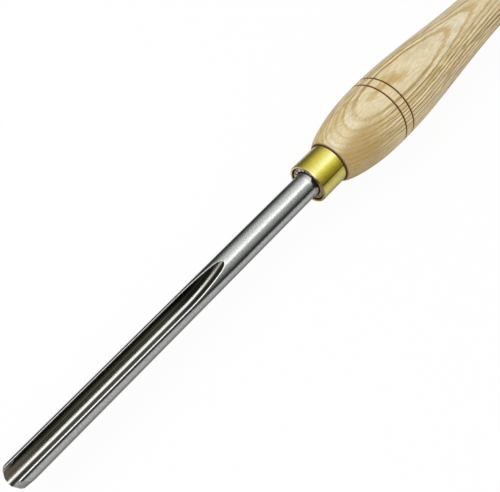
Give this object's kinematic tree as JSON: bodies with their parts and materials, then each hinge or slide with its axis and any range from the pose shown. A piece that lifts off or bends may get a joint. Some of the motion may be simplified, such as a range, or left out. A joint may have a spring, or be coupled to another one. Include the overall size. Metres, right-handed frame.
{
  "type": "bowl gouge",
  "caption": "Woodturning gouge: a round steel bar with a deep milled flute and a ground nose, set in a long turned wooden handle behind a brass ferrule.",
  "frame": {"origin": "on the axis of the bar, in the plane of the ferrule's front face", "axes": "the bar's axis is X: -X points out past the nose and +X to the butt of the handle; +Z is the side that the flute opens to; +Y completes a right-handed frame"},
  "size_m": [0.6605, 0.0456, 0.0456],
  "materials": {
    "tool_steel": "satin ground bar with a bright flute and bevel",
    "brass": "turned and polished",
    "ash_wood": "clear lacquer over open grain, two burnt rings",
    "cured_adhesive": "cured, dull"
  },
  "bodies": {
    "root": {"fluted_blade": "tool_steel", "brass_ferrule": "brass", "ash_handle": "ash_wood", "shank_bond": "cured_adhesive"}
  },
  "joints": []
}
